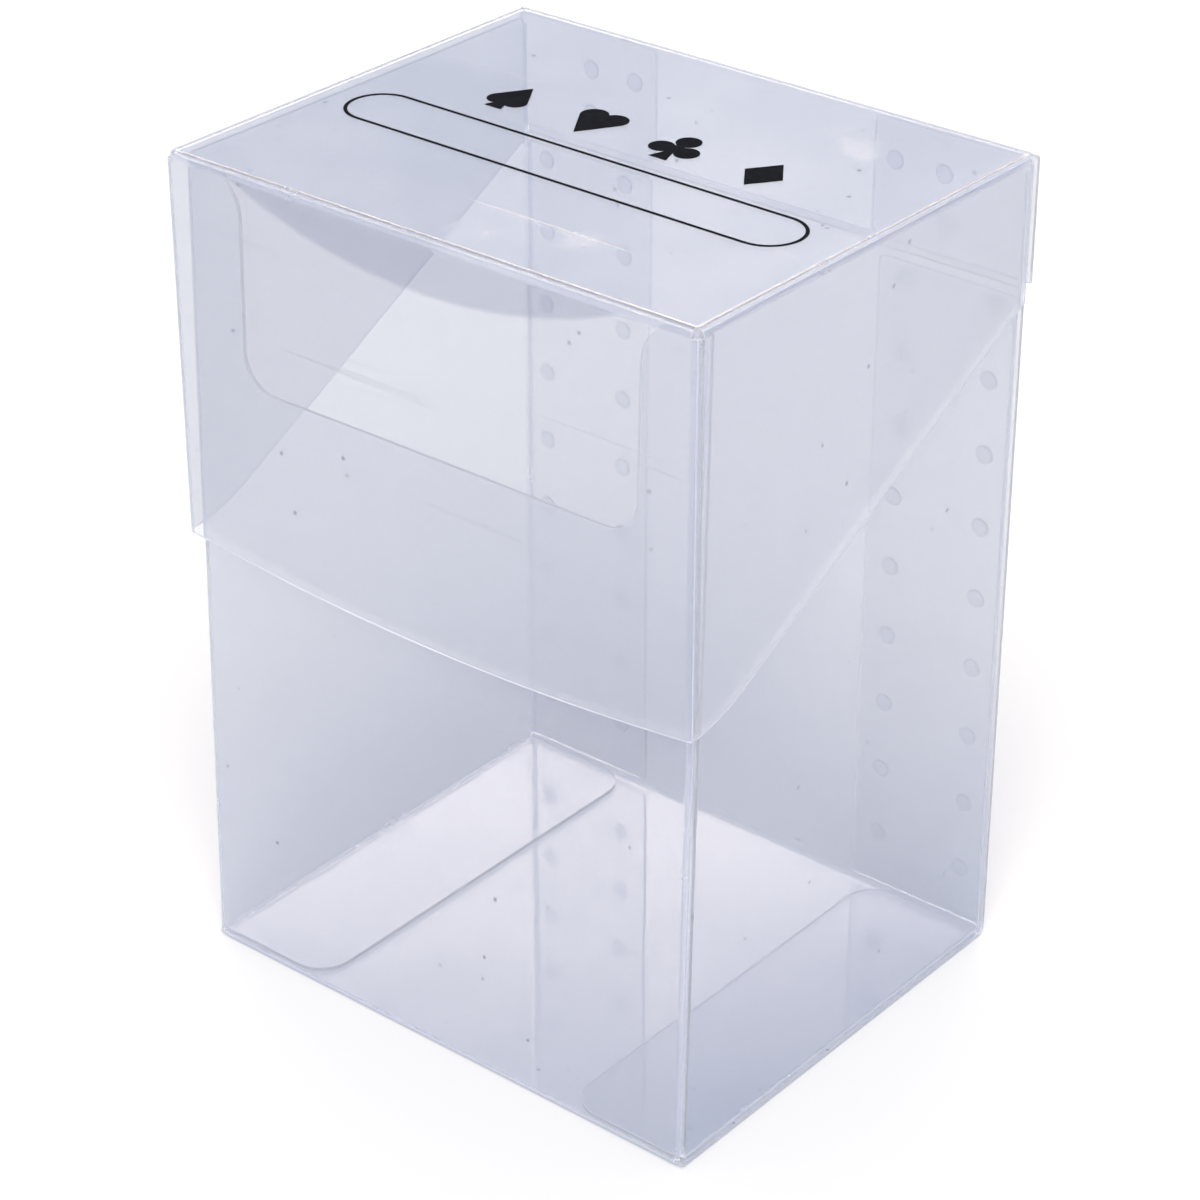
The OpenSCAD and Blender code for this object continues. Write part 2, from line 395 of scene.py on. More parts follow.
def flexed_lens(tree, place):
    """1 inside the lens above the thumb cut-out, where a painted shade darkens the lid's front
    flap.
    """
    sizes = settings().outline
    half = front[1].x - sizes.horn_width + sizes.lens_overlap
    radius = (half * half + sizes.lens_depth**2) / (2 * sizes.lens_depth)
    centre_z = lid_top[1].z - sizes.lens_depth + radius
    parts = tree.nodes.new("ShaderNodeSeparateXYZ")
    tree.links.new(place, parts.inputs[0])
    across = maths(tree, "POWER", maths(tree, "ABSOLUTE", parts.outputs["X"]), 2.0)
    up = maths(tree, "POWER", maths(tree, "SUBTRACT", centre_z, parts.outputs["Z"]), 2.0)
    reach = maths(tree, "SQRT", maths(tree, "ADD", across, up))
    soft = sizes.lens_softness
    return maths(tree, "SUBTRACT", 1.0, band(tree, reach, radius - soft, radius + soft))


def wall_foot(tree, place):
    """1 at the foot of the box's walls, fading out above it: where a painted shade darkens the
    walls.
    """
    parts = tree.nodes.new("ShaderNodeSeparateXYZ")
    tree.links.new(place, parts.inputs[0])
    rise = band(tree, parts.outputs["Z"], 0.0, settings().outline.foot_height)
    return maths(tree, "SUBTRACT", 1.0, rise)


def rubbed_patches(tree, place):
    """Soft patches on the lid's top: rubbing by hands and shelves, and a painted shade that darkens
    the top.
    """
    patches = add_node(tree, "ShaderNodeTexNoise", {"Scale": 48.0, "Detail": 5.0})
    tree.links.new(place, patches.inputs["Vector"])
    return band(tree, patches.outputs[0], 0.28, 0.62)


def clear_plastic(name, tint, lamp_tint, finish, shade=None):
    """Glossy clear sheet that lets the lamps' light through, tinted by lamp_tint at each face.

    shade is a darker tint and the function that masks it, where the piece has one: a painted shade,
    which on the lid's top also stands for rubbing."""
    if name in bpy.data.materials:
        return bpy.data.materials[name]
    values = dict(zip(FINISH_VALUES, FINISHES[finish]))
    material = bpy.data.materials.new(name)
    material.use_nodes = True
    tree = material.node_tree
    tree.nodes.clear()
    link = tree.links.new
    output = tree.nodes.new("ShaderNodeOutputMaterial")
    coordinates = tree.nodes.new("ShaderNodeTexCoord")
    wear = add_node(tree, "ShaderNodeGroup", node_tree=plastic_wear_group())
    for label in ("gloss", "scuffs", "scratches", "specks"):
        wear.inputs[label.capitalize()].default_value = values[label]
    link(coordinates.outputs["Object"], wear.inputs["Place"])

    # Painted shade: the mask blends in the darker tint
    if shade:
        darker, mask = shade
        tint = mixed(tree, mask(tree, coordinates.outputs["Object"]), tint, darker)
    soiled = mixed(tree, wear.outputs["Marks"], tint, GRIME)
    bump = add_node(tree, "ShaderNodeBump", {"Strength": 1.0, "Distance": values["ripple"]})
    link(wear.outputs["Height"], bump.inputs["Height"])

    plastic = add_node(
        tree,
        "ShaderNodeBsdfPrincipled",
        {"IOR": values["ior"], "Transmission Weight": values["clarity"]},
    )
    link(soiled, plastic.inputs["Base Color"])
    link(wear.outputs["Roughness"], plastic.inputs["Roughness"])
    link(bump.outputs["Normal"], plastic.inputs["Normal"])

    see_through = add_node(tree, "ShaderNodeBsdfTransparent", {"Color": (*lamp_tint, 1.0)})
    path = tree.nodes.new("ShaderNodeLightPath").outputs
    lamp_ray = maths(tree, "MAXIMUM", path["Is Shadow Ray"], path["Is Diffuse Ray"])
    seen = either(tree, lamp_ray, plastic.outputs["BSDF"], see_through.outputs["BSDF"])
    link(seen, output.inputs["Surface"])
    return material


# The setting that holds the darker tint of each mask's painted shade
SHADES = {
    flexed_lens: "lens_tint",
    wall_foot: "foot_tint",
    rubbed_patches: "rubbed_tint",
}


def sheet_materials(body, inner=False, mask=None):
    """Skin, cut edge and crease of a body's sheet; an inner flap is welded down and clearer."""
    colours = settings().colours
    tint = tuple(colours.lid_tint if body == LID else colours.box_tint)
    pale = tuple(colours.edge_tint)
    bruised = tuple(colours.crease_tint)
    crease = clear_plastic(f"{body}_whitened_crease", bruised, LAMP_TINT, f"{body}_crease")
    edge = clear_plastic(f"{body}_cut_edge", pale, LAMP_TINT, "cut_edge")
    if inner:
        tint = tuple(math.sqrt(value) for value in tint)
        lamp_tint = tuple(math.sqrt(value) for value in LAMP_TINT)
        skin = clear_plastic(f"{body}_welded_down_sheet", tint, lamp_tint, "welded_down")
    # A masked skin carries a painted shade
    elif mask:
        shade = (tuple(getattr(colours, SHADES[mask])), mask)
        skin = clear_plastic(f"{body}_{mask.__name__}", tint, LAMP_TINT, "sheet", shade)
    else:
        skin = clear_plastic(f"{body}_clear_sheet", tint, LAMP_TINT, "sheet")
    return [skin, edge, crease]


def ink_material():
    """Black screen print with slight unevenness at its edge and a satin face."""
    if "screen_print_ink" in bpy.data.materials:
        return bpy.data.materials["screen_print_ink"]
    material = bpy.data.materials.new("screen_print_ink")
    material.use_nodes = True
    tree = material.node_tree
    ink = tree.nodes["Principled BSDF"]
    link = tree.links.new
    coordinates = tree.nodes.new("ShaderNodeTexCoord")
    wear = add_node(tree, "ShaderNodeGroup", node_tree=plastic_wear_group())
    wear.inputs["Gloss"].default_value = INK_ROUGHNESS
    wear.inputs["Scuffs"].default_value = INK_SCUFFS
    link(coordinates.outputs["Object"], wear.inputs["Place"])
    ink.inputs["Specular IOR Level"].default_value = 0.02
    mottle = add_node(tree, "ShaderNodeTexNoise", {"Scale": 1400.0, "Detail": 3.0})
    link(coordinates.outputs["Object"], mottle.inputs["Vector"])
    deep = tuple(settings().colours.ink)
    thin = [INK_THIN * value for value in deep]
    link(mixed(tree, mottle.outputs[0], deep, thin), ink.inputs["Base Color"])
    link(wear.outputs["Roughness"], ink.inputs["Roughness"])
    bump = add_node(tree, "ShaderNodeBump", {"Strength": 0.6, "Distance": 0.00001})
    link(mottle.outputs[0], bump.inputs["Height"])
    link(bump.outputs["Normal"], ink.inputs["Normal"])
    return material


# Panel making


def arc_points(centre, radius, start, end, steps):
    """Points on an arc in a panel's plane, angles in radians from the horizontal."""
    turns = [start + (end - start) * i / steps for i in range(steps + 1)]
    return [(centre[0] + radius * math.cos(a), centre[1] + radius * math.sin(a)) for a in turns]


def rectangle(left, low, right, high):
    """A four-cornered outline, from its first corner and its opposite one."""
    return [(left, low), (right, low), (right, high), (left, high)]


def cut_panel(outline, rounds=()):
    """One flat face with the outline's corners; rounds lists (corner, radius) to round off."""
    bm = bmesh.new()
    corners = [bm.verts.new((u, v, 0.0)) for u, v in outline]
    bm.faces.new(corners)
    for corner, radius in rounds:
        at = Vector((*corner, 0.0))
        sharp = [v for v in bm.verts if (v.co - at).length < ON_LINE]
        bmesh.ops.bevel(
            bm,
            geom=sharp,
            offset=radius,
            segments=CORNER_STEPS,
            profile=0.5,
            affect="VERTICES",
            material=-1,
        )
    return bm


def cross_cut(bm, spacing):
    """Cuts a flat panel into a grid, so that it can bend."""
    for axis in (0, 1):
        low = min(v.co[axis] for v in bm.verts)
        high = max(v.co[axis] for v in bm.verts)
        count = max(1, round((high - low) / spacing))
        across = Vector((1.0, 0.0, 0.0)) if axis == 0 else Vector((0.0, 1.0, 0.0))
        for i in range(1, count):
            bmesh.ops.bisect_plane(
                bm,
                geom=bm.verts[:] + bm.edges[:] + bm.faces[:],
                dist=ON_LINE,
                plane_co=across * (low + (high - low) * i / count),
                plane_no=across,
            )


class Fold:
    """A crease along the line from start to end, drawn with the panel on its left."""

    def __init__(self, start, end, turn=math.pi / 2):
        self.start = Vector((*start, 0.0))
        self.along = (Vector((*end, 0.0)) - self.start).normalized()
        self.outward = self.along.cross(UP)
        self.turn = turn
        self.radius = settings().sheet.crease_radius
        self.cut = self.start - self.outward * self.radius * math.tan(turn / 2)

    def past(self, place):
        """How far a place lies past the crease's inner line."""
        return (place - self.cut).dot(self.outward)

    def trim(self, bm, inset=0.0, clear=True):
        """Cuts along the crease's inner line, or a little inside it to keep the flat's shading."""
        bmesh.ops.bisect_plane(
            bm,
            geom=bm.verts[:] + bm.edges[:] + bm.faces[:],
            dist=ON_LINE,
            plane_co=self.cut - self.outward * inset,
            plane_no=self.outward,
            clear_outer=clear,
        )

    def rim(self, bm):
        return [e for e in bm.edges if all(abs(self.past(v.co)) < ON_LINE for v in e.verts)]

    def roll(self, bm, edges):
        """Rolls the edges inwards through this panel's half of the fold."""
        corners = list(dict.fromkeys(v for e in edges for v in e.verts))
        bmesh.ops.spin(
            bm,
            geom=edges + corners,
            cent=self.cut - UP * self.radius,
            axis=UP.cross(self.outward),
            angle=(self.turn - settings().sheet.crease_split) / 2,
            steps=settings().sheet.crease_steps,
        )


def bow_in(bm, folds, depth):
    """Sinks the panel away from its folds, as a sheet held along them does."""
    for v in bm.verts:
        share = 1.0
        for fold in folds:
            reach = max(-fold.past(w.co) for w in bm.verts) / 2
            near = min(1.0, max(0.0, -fold.past(v.co) / reach))
            share *= near * (2.0 - near)
        v.co.z -= depth * share


def thicken(bm, thickness):
    """Gives the panel its thickness inwards and marks its cut edges, rounded a little."""
    bmesh.ops.recalc_face_normals(bm, faces=bm.faces[:])
    widest = max(bm.faces, key=lambda f: f.calc_area())
    if widest.normal.z < 0:
        bmesh.ops.reverse_faces(bm, faces=bm.faces[:])
    outside = set(bm.verts)
    bmesh.ops.solidify(bm, geom=bm.faces[:], thickness=thickness)
    rims = set()
    for face in bm.faces:
        shared = sum(v in outside for v in face.verts)
        if 0 < shared < len(face.verts):
            face.material_index = CUT_EDGE
            rims.add(face)
    corners = [e for e in bm.edges if sum(f in rims for f in e.link_faces) == 1]
    bmesh.ops.bevel(
        bm,
        geom=corners,
        offset=settings().sheet.edge_round,
        segments=EDGE_STEPS,
        profile=0.5,
        affect="EDGES",
        clamp_overlap=True,
        material=CUT_EDGE,
    )


def standing(origin, across, up):
    """Places a panel: its own two directions, and its outside towards across x up."""
    across, up = Vector(across).normalized(), Vector(up).normalized()
    out = across.cross(up)
    turn = Matrix((across, up, out)).transposed().to_4x4()
    return Matrix.Translation(origin) @ turn


def finish_piece(name, bm, materials, body, nodes):
    """Makes the mesh an object that stands for its CAD nodes and rides on its body."""
    bmesh.ops.remove_doubles(bm, verts=bm.verts[:], dist=ON_LINE / 2)
    mesh = bpy.data.meshes.new(name)
    bm.to_mesh(mesh)
    bm.free()
    for material in materials:
        mesh.materials.append(material)
    mesh.polygons.foreach_set("use_smooth", [True] * len(mesh.polygons))
    mesh.set_sharp_from_angle(angle=SHARP_ANGLE)
    piece = bpy.data.objects.new(name, mesh)
    bpy.context.scene.collection.objects.link(piece)
    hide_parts(*nodes)
    if body:
        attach(piece, body)
    return piece


def make_panel(
    node, outline, place, body, folds=(), rounds=(), bow=0.0, inner=False, mask=None
):
    """One panel from its flat outline to a finished piece that stands for its CAD node."""
    sizes = settings().sheet
    bm = cut_panel(outline, rounds)
    for fold in folds:
        fold.trim(bm)
    cross_cut(bm, sizes.grid)
    for fold in folds:
        fold.trim(bm, sizes.crease_radius / 4, clear=False)
    rims = [fold.rim(bm) for fold in folds]
    if bow:
        bow_in(bm, folds, bow)
    for fold, edges in zip(folds, rims):
        fold.roll(bm, edges)
    for face in bm.faces:
        if any(fold.past(face.calc_center_median()) > ON_LINE for fold in folds):
            face.material_index = CREASE
    thicken(bm, sheet_gauge - sizes.skin_gap)
    bm.transform(place)
    materials = sheet_materials(body, inner, mask)
    return finish_piece(f"{node}_sheet", bm, materials, body, [node])


def turn_over(sign, outline, creases):
    """A right-hand piece's outline and folds, turned over when sign is that of the left."""
    folds = []
    for start, end in creases:
        start, end = (sign * start[0], start[1]), (sign * end[0], end[1])
        folds.append(Fold(start, end) if sign > 0 else Fold(end, start))
    return [(sign * u, v) for u, v in outline], folds


# Operators


class DECKBOX_OT_front_panel(bpy.types.Operator):
    """Front wall with the thumb cut-out, leaning in towards its top"""

    bl_idname = "deckbox.front_panel"
    bl_label = "Front panel"

    def execute(self, context):
        cuts = settings().outline
        half = front[1].x
        rise = math.hypot(front_drop, front_lean)
        inner = half - cuts.horn_width
        low = rise - cuts.cutout_depth
        outline = [
            (-half, 0.0),
            (half, 0.0),
            (half, rise),
            (inner, rise),
            (inner, low),
            (-inner, low),
            (-inner, rise),
            (-half, rise),
        ]
        rounds = [
            ((inner, rise), cuts.horn_radius),
            ((-inner, rise), cuts.horn_radius),
            ((inner, low), cuts.cutout_radius),
            ((-inner, low), cuts.cutout_radius),
        ]
        folds = [
            Fold((-half, 0.0), (half, 0.0), math.pi / 2 + front_tilt),
            Fold((half, 0.0), (half, rise)),
            Fold((-half, rise), (-half, 0.0)),
        ]
        up = (0, math.sin(front_tilt), math.cos(front_tilt))
        place = standing((0.0, bottom[0].y, bottom[0].z), (1, 0, 0), up)
        bow = settings().sheet.wall_bow
        make_panel("front_panel", outline, place, BODY, folds, rounds, bow)
        return {"FINISHED"}


class DECKBOX_OT_back_panel(bpy.types.Operator):
    """Back wall, up to the hinge crease"""

    bl_idname = "deckbox.back_panel"
    bl_label = "Back panel"

    def execute(self, context):
        low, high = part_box("back_panel")
        rise = high.z - bottom[0].z
        outline = rectangle(low.x, 0.0, high.x, rise)
        folds = [Fold((low.x, 0.0), (high.x, 0.0))]
        place = standing((0.0, high.y, bottom[0].z), (-1, 0, 0), (0, 0, 1))
        # Painted shade darkens the back wall towards its foot
        make_panel("back_panel", outline, place, BODY, folds, mask=wall_foot)
        return {"FINISHED"}


class DECKBOX_OT_side_panels(bpy.types.Operator):
    """Side walls, stepped in behind the lid's tabs"""

    bl_idname = "deckbox.side_panels"
    bl_label = "Side panels"

    def execute(self, context):
        front_y, top = bottom[0].y, front[1].z
        for side, sign in SIDES:
            node = f"{side}_side_panel"
            low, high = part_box(node)
            flap_low, flap_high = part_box(f"{side}_weld_flap")
            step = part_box("lid_left_tab")[0].y - settings().outline.tab_clearance
            base_y = front_y + front_lean * low.z / top
            # Along the wall from front to back, and up; the left wall runs the other way
            outline = [
                (base_y, low.z),
                (step, low.z),
                (step, flap_low.z),
                (high.y, flap_low.z),
                (high.y, flap_high.z),
                (step, flap_high.z),
                (step, top),
                (front_y + front_lean, top),
            ]
            creases = [
                ((base_y, low.z), (step, low.z)),
                ((high.y, flap_low.z), (high.y, flap_high.z)),
                ((front_y + front_lean, top), (base_y, low.z)),
            ]
            outline, folds = turn_over(sign, outline, creases)
            place = standing(((high.x if sign > 0 else low.x), 0.0, 0.0), (0, sign, 0), (0, 0, 1))
            rounds = [((sign * step, top), settings().outline.small_radius)]
            bow = settings().sheet.wall_bow
            # Painted shade darkens the side walls towards their foot
            make_panel(node, outline, place, BODY, folds, rounds, bow, mask=wall_foot)
        return {"FINISHED"}


class DECKBOX_OT_bottom_panel(bpy.types.Operator):
    """Floor of the box, folded up into the front and back walls"""

    bl_idname = "deckbox.bottom_panel"
    bl_label = "Bottom panel"

    def execute(self, context):
        low, high = bottom
        outline = rectangle(low.x, low.y, high.x, high.y)
        folds = [
            Fold((low.x, low.y), (high.x, low.y)),
            Fold((high.x, high.y), (low.x, high.y), math.pi / 2 + front_tilt),
        ]
        place = standing((0.0, 0.0, low.z), (1, 0, 0), (0, -1, 0))
        make_panel("bottom_panel", outline, place, BODY, folds)
        return {"FINISHED"}


class DECKBOX_OT_dust_flaps(bpy.types.Operator):
    """Dust flaps on the floor, folded in from the side walls"""

    bl_idname = "deckbox.dust_flaps"
    bl_label = "Dust flaps"

    def execute(self, context):
        radius = settings().outline.dust_flap_radius
        for side, sign in SIDES:
            node = f"{side}_bottom_flap"
            low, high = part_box(node)
            wall = front[1].x
            free = high.x if sign < 0 else low.x
            outer = sign * wall
            outline = rectangle(outer, -high.y, free, -low.y)
            edge = [(outer, -low.y), (outer, -high.y)]
            if sign > 0:
                edge.reverse()
            folds = [Fold(*edge)]
            rounds = [((free, -high.y), radius), ((free, -low.y), radius)]
            place = standing((0.0, 0.0, low.z), (1, 0, 0), (0, -1, 0))
            make_panel(node, outline, place, BODY, folds, rounds, inner=True)
        return {"FINISHED"}


class DECKBOX_OT_weld_flaps(bpy.types.Operator):
    """Upright flaps of the side walls, welded inside the back wall"""

    bl_idname = "deckbox.weld_flaps"
    bl_label = "Weld flaps"

    def execute(self, context):
        for side, sign in SIDES:
            make_back_flap(f"{side}_weld_flap", sign, front[1].x, BODY)
        return {"FINISHED"}


def make_back_flap(node, sign, wall, body):
    """An upright flap that faces back, folded in from a side at wall."""
    low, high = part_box(node)
    # The panel's own direction across runs towards -X, so signs are swapped
    outer = -sign * wall
    free = -(high.x if sign < 0 else low.x)
    outline = rectangle(outer, low.z, free, high.z)
    edge = [(outer, low.z), (outer, high.z)]
    if sign > 0:
        edge.reverse()
    small = settings().outline.small_radius
    rounds = [((free, low.z), small), ((free, high.z), small)]
    place = standing((0.0, high.y, 0.0), (-1, 0, 0), (0, 0, 1))
    make_panel(node, outline, place, body, [Fold(*edge)], rounds, inner=True)


class DECKBOX_OT_lid_top(bpy.types.Operator):
    """Top of the lid"""

    bl_idname = "deckbox.lid_top"
    bl_label = "Lid top"

    def execute(self, context):
        low, high = lid_top
        outline = rectangle(low.x, low.y, high.x, high.y)
        folds = [Fold(start, end) for start, end in zip(outline, outline[1:] + outline[:1])]
        place = standing((0.0, 0.0, high.z), (1, 0, 0), (0, 1, 0))
        # The lid's top gets rubbed patches, partly real rubbing and partly painted shade
        make_panel("lid_top_panel", outline, place, LID, folds, mask=rubbed_patches)
        return {"FINISHED"}


class DECKBOX_OT_lid_front_flap(bpy.types.Operator):
    """Front flap of the lid, with its edge hanging lowest at the middle"""

    bl_idname = "deckbox.lid_front_flap"
    bl_label = "Lid front flap"

    def execute(self, context):
        low, high = lid_flap
        half, top = high.x, lid_top[1].z
        drop = settings().outline.flap_bow
        radius = (half * half + drop * drop) / (2 * drop)
        reach = math.asin(half / radius)
        start, end = -math.pi / 2 - reach, -math.pi / 2 + reach
        outline = arc_points((0.0, low.z + radius), radius, start, end, FLAP_STEPS)
        ends_z = outline[0][1]
        outline += [(half, top), (-half, top)]
        folds = [
            Fold((half, top), (-half, top)),
            Fold((half, ends_z), (half, top)),
            Fold((-half, top), (-half, ends_z)),
        ]
        place = standing((0.0, low.y, 0.0), (1, 0, 0), (0, 0, 1))
        bow = settings().sheet.lid_bow
        # A painted shade darkens the lens above the thumb cut-out
        make_panel("lid_front_flap", outline, place, LID, folds, bow=bow, mask=flexed_lens)
        return {"FINISHED"}


class DECKBOX_OT_lid_sides(bpy.types.Operator):
    """Side flaps of the lid, with slanted lower edges"""

    bl_idname = "deckbox.lid_sides"
    bl_label = "Lid sides"

    def execute(self, context):
        cuts = settings().outline
        for side, sign in SIDES:
            node = f"lid_{side}_side"
            low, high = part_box(node)
            front_y = lid_flap[0].y
            ends_z = lid_flap[0].z + cuts.flap_bow
            rear, rear_z = high.y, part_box("rear_hinge_web")[0].z
            top = lid_top[1].z
            corner = (lid_top[1].y - cuts.side_chamfer, rear_z - cuts.side_chamfer)
            leave = math.radians(8)
            centre = Vector((low.y, ends_z)) - cuts.side_blend * Vector(
                (math.sin(leave), -math.cos(leave))
            )
            gap = Vector(corner) - centre
            slant = math.atan2(gap.y, gap.x) + math.asin(cuts.side_blend / gap.length)
            start, end = leave - math.pi / 2, slant - math.pi / 2
            blend = arc_points(centre, cuts.side_blend, start, end, BLEND_STEPS)
            outline = [(front_y, blend[0][1]), *blend, corner, (rear, rear_z)]
            outline += [(rear, top), (front_y, top)]
            creases = [
                ((rear, rear_z), (rear, top)),
                ((rear, top), (front_y, top)),
                ((front_y, top), (front_y, blend[0][1])),
            ]
            outline, folds = turn_over(sign, outline, creases)
            place = standing(((high.x if sign > 0 else low.x), 0.0, 0.0), (0, sign, 0), (0, 0, 1))
            make_panel(node, outline, place, LID, folds, bow=settings().sheet.lid_side_bow)
        return {"FINISHED"}


class DECKBOX_OT_lid_back_strip(bpy.types.Operator):
    """Back strip of the lid, between its top and the hinge crease"""

    bl_idname = "deckbox.lid_back_strip"
    bl_label = "Lid back strip"

    def execute(self, context):
        low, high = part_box("lid_back_strip")
        top = lid_top[1].z
        outline = rectangle(low.x, low.z, high.x, top)
        folds = [Fold((high.x, top), (low.x, top))]
        place = standing((0.0, high.y, 0.0), (-1, 0, 0), (0, 0, 1))
        make_panel("lid_back_strip", outline, place, LID, folds)
        return {"FINISHED"}


class DECKBOX_OT_lid_tabs(bpy.types.Operator):
    """Tabs of the side flaps, welded inside the back strip"""

    bl_idname = "deckbox.lid_tabs"
    bl_label = "Lid tabs"

    def execute(self, context):
        for side, sign in SIDES:
            make_back_flap(f"lid_{side}_tab", sign, lid_top[1].x, LID)
        return {"FINISHED"}


def weld_profile(radius, height):
    """Half section of a weld from its axis outwards: sunk middle, raised rim, sloping skirt."""
    sizes = settings().welds
    rim = radius * (1 - sizes.rim)
    return [
        (0.0, height * (1 - sizes.dimple)),
        (rim * 0.55, height * (1 - 0.85 * sizes.dimple)),
        (rim * 0.9, height * 0.78),
        (rim * 1.08, height),
        (radius * 0.84, height * 0.92),
        (radius * 0.95, height * 0.45),
        (radius, 0.0),
    ]


def make_welds(node, places, body):
    """Buttons at the places given in X and Z, standing towards -Y from the flap they join."""
    low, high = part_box(node)
    stand_off = 2 * settings().sheet.skin_gap
    radius = settings().welds.diameter / 2
    height = high.y - low.y - stand_off
    bm = bmesh.new()
    for x, z in places:
        button = bmesh.new()
        line = [button.verts.new((r, 0.0, h)) for r, h in weld_profile(radius, height)]
        edges = [button.edges.new(pair) for pair in zip(line, line[1:])]
        bmesh.ops.spin(
            button,
            geom=line + edges,
            axis=UP,
            angle=2 * math.pi,
            steps=settings().welds.segments,
            use_merge=True,
        )
        bmesh.ops.remove_doubles(button, verts=button.verts[:], dist=ON_LINE)
        rim = [e for e in button.edges if e.is_boundary]
        bmesh.ops.contextual_create(button, geom=rim)
        bmesh.ops.recalc_face_normals(button, faces=button.faces[:])
        for face in button.faces:
            middle = face.calc_center_median()
            # The sloping skirt takes the slot with the painted shade
            if middle.z > ON_LINE and middle.xy.length > radius * settings().welds.skirt:
                face.material_index = WELD_SHADED_SLOPE
        place = standing((x, high.y, z), (1, 0, 0), (0, 0, 1))
        place = place @ Matrix.Translation((0.0, 0.0, stand_off))
        button.transform(place)
        part = bpy.data.meshes.new("weld")
        button.to_mesh(part)
        button.free()
        bm.from_mesh(part)
        bpy.data.meshes.remove(part)
    return finish_piece(f"{node}_buttons", bm, weld_materials(), body, [node])


def weld_materials():
    """Plastic that melted and set again: a clear middle, and a sloping rim darkened by a painted
    shade.
    """
    colours = settings().colours
    lamp_tint = tuple(math.sqrt(value) for value in LAMP_TINT)
    return [
        clear_plastic("melted_weld_middle", tuple(colours.edge_tint), lamp_tint, "weld"),
        # The slope's darker tint is a painted shade
        clear_plastic("melted_weld_slope", tuple(colours.weld_slope), lamp_tint, "weld"),
    ]


class DECKBOX_OT_spot_welds(bpy.types.Operator):
    """Spot welds of the box, in two columns on each weld flap"""

    bl_idname = "deckbox.spot_welds"
    bl_label = "Spot welds"

    def execute(self, context):
        rows = settings().welds.rows
        for side, _ in SIDES:
            node = f"{side}_spot_welds"
            low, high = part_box(node)
            radius = settings().welds.diameter / 2
            step = (high.z - low.z - 2 * radius) / (rows - 1)
            places = []
            for row in range(rows):
                z = low.z + radius + row * step
                places += [(low.x + radius, z), (high.x - radius, z)]
            make_welds(node, places, BODY)
        return {"FINISHED"}


class DECKBOX_OT_tab_welds(bpy.types.Operator):
    """Three spot welds on each tab of the lid"""

    bl_idname = "deckbox.tab_welds"
    bl_label = "Tab welds"

    def execute(self, context):
        for side, sign in SIDES:
            node = f"lid_{side}_tab_welds"
            low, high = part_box(node)
            radius = settings().welds.diameter / 2
            outer = high.x - radius if sign > 0 else low.x + radius
            inner = low.x + radius if sign > 0 else high.x - radius
            places = [(outer, high.z - radius), (inner, high.z - radius), (outer, low.z + radius)]
            make_welds(node, places, LID)
        return {"FINISHED"}


# How far the crease is pressed in, as a share of its thickness, and the outside's part of that
HINGE_SQUEEZE = 0.35
HINGE_OUTSIDE = 0.6
# Cuts across the hinge's height and along its length
HINGE_ROWS, HINGE_COLUMNS = 9, 15


class DECKBOX_OT_hinge(bpy.types.Operator):
    """Thinned living hinge between the back wall and the lid"""

    bl_idname = "deckbox.hinge"
    bl_label = "Living hinge"

    def execute(self, context):
        node = "rear_hinge_web"
        low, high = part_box(node)
        bm = bmesh.new()
        size = high - low
        middle = (low + high) / 2
        bmesh.ops.create_cube(bm, size=1.0)
        bmesh.ops.scale(bm, vec=size, verts=bm.verts[:])
        bmesh.ops.translate(bm, vec=middle, verts=bm.verts[:])
        upright = [e for e in bm.edges if abs((e.verts[0].co - e.verts[1].co).z) > size.z / 2]
        bmesh.ops.subdivide_edges(bm, edges=upright, cuts=HINGE_ROWS, use_grid_fill=True)
        long = [e for e in bm.edges if abs((e.verts[0].co - e.verts[1].co).x) > size.x / 2]
        bmesh.ops.subdivide_edges(bm, edges=long, cuts=HINGE_COLUMNS, use_grid_fill=True)
        # The pressed crease is thinnest along its middle line
        for v in bm.verts:
            share = 1 - abs(v.co.z - middle.z) / (size.z / 2)
            squeeze = HINGE_SQUEEZE * size.y * share * share
            v.co.y += squeeze if v.co.y < middle.y else -squeeze * HINGE_OUTSIDE
        bmesh.ops.recalc_face_normals(bm, faces=bm.faces[:])
        tint = tuple(settings().colours.box_tint)
        web = clear_plastic("hinge_web_plastic", tint, LAMP_TINT, "hinge")
        piece = finish_piece("rear_hinge_crease", bm, [web], None, [node])
        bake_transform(piece)
        return {"FINISHED"}


class DECKBOX_OT_print(bpy.types.Operator):
    """Ink of the label outline and the row of card suits"""

    bl_idname = "deckbox.print"
    bl_label = "Printed label and suits"

    def execute(self, context):
        for node in ("label_outline", "printed_suits"):
            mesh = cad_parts[node].data
            mesh.materials.clear()
            mesh.materials.append(ink_material())
        return {"FINISHED"}


# The studio as the gloss shows it: plain walls, and a lit backdrop low behind the box. The glow
# rises and falls between two pairs of heights, towards a heading in X and Y, and fades sideways.
STUDIO_WALL = (0.52, 0.57, 0.72)
BACKDROP_GLOW = (11.8, 9.9, 8.1)
GLOW_RISES = (0.42, 0.52)
GLOW_FALLS = (0.53, 0.63)
GLOW_HEADING = (-0.695, 0.719)
GLOW_WIDTH = (0.6, 0.83)
# The soft light that fills the shadows
FILL_LIGHT = (0.98, 0.985, 1.0)
FILL_STRENGTH = 0.32
# The key light, its softness in degrees and where it shines
KEY_STRENGTH = 2.95
KEY_COLOUR = (1.0, 0.99, 0.975)
KEY_SOFTNESS = 42
KEY_TOWARDS = (-0.42, 0.55, -0.95)
FLOOR_DROP = 0.0002
FLOOR_HALF = 3.0
